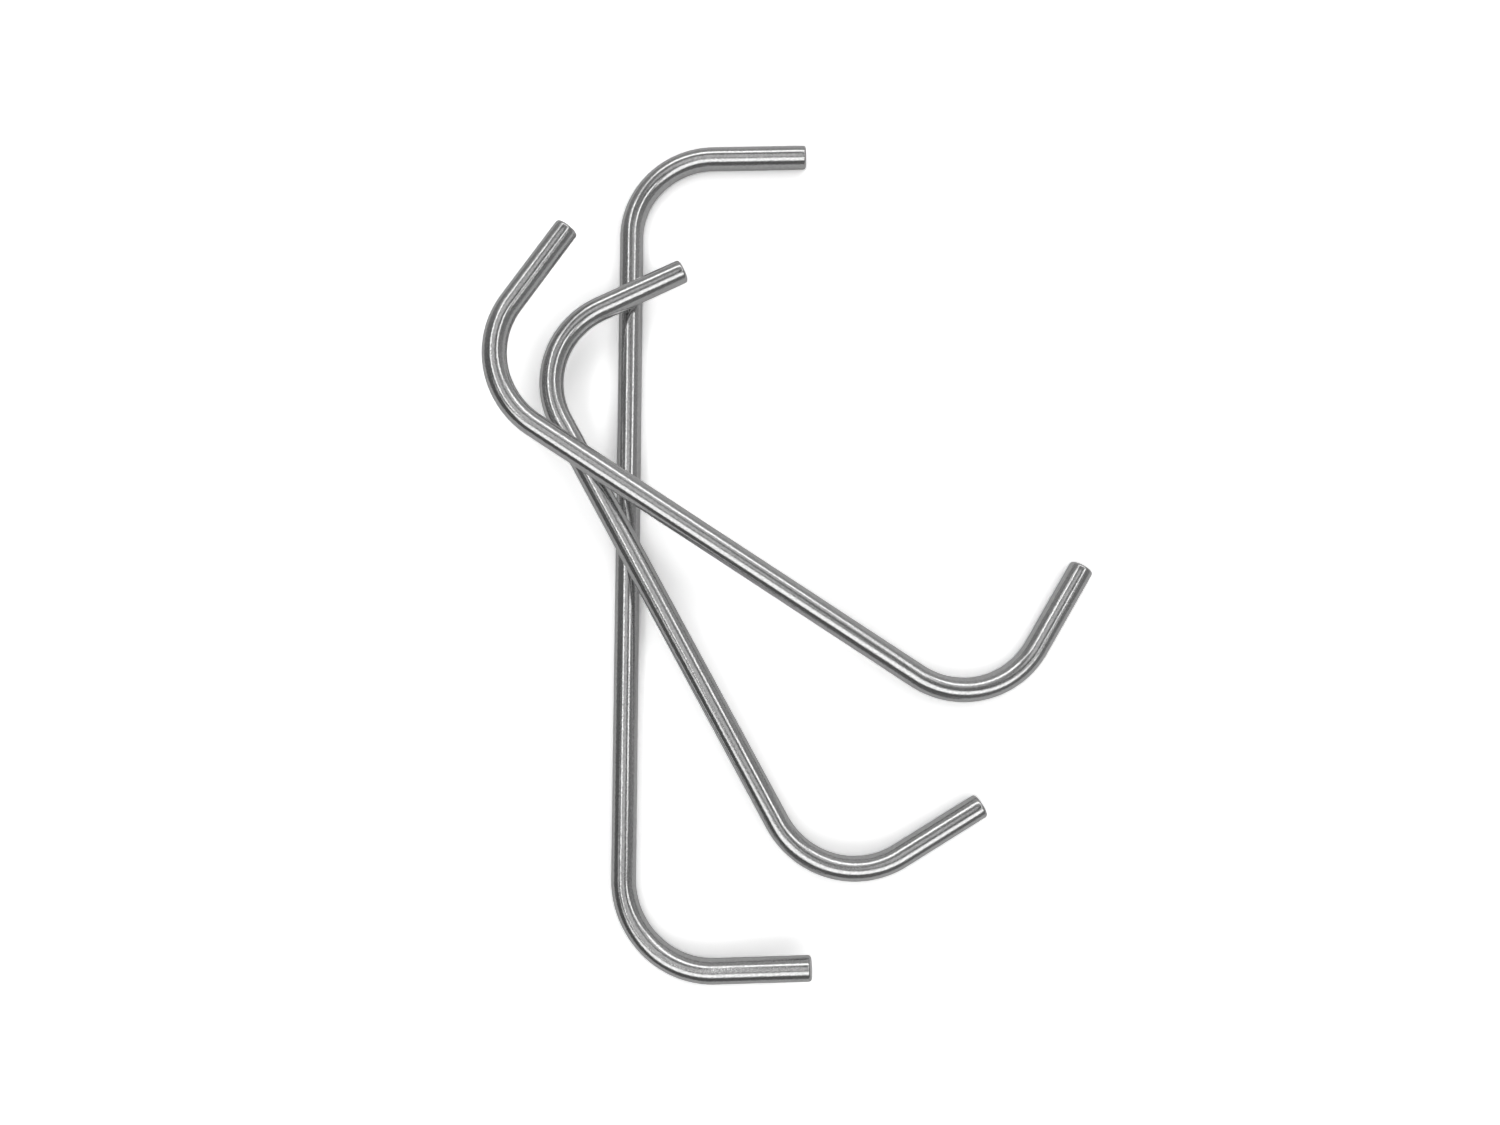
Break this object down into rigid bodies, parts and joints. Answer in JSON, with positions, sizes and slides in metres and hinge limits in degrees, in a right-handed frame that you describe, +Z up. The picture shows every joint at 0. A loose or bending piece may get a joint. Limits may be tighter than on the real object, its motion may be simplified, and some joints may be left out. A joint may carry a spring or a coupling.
{
  "type": "bent double pointed knitting needles",
  "caption": "Loose round steel knitting needles, each a long straight rod with both ends bent square into short blunt legs, lying crossed on one another in a flat pile.",
  "frame": {"origin": "on the surface that the pile lies on, under the middle of the pile's box", "axes": "+Z up from the surface; +Y along the long needle's middle, towards its upper leg; +X the way the long needle's legs point"},
  "size_m": [0.1234, 0.1743, 0.0195],
  "materials": {
    "steel": "drawn and lightly polished, bare"
  },
  "bodies": {
    "long": {"long_needle": "steel"},
    "middle": {"middle_needle": "steel"},
    "top": {"top_needle": "steel"}
  },
  "joints": [
    {"name": "middle_lift", "type": "slide", "parent": "long", "child": "middle", "axis": [0, 0, 1], "range_m": [0, 0.06]},
    {"name": "top_lift", "type": "slide", "parent": "middle", "child": "top", "axis": [0, 0, 1], "range_m": [0, 0.06]}
  ]
}
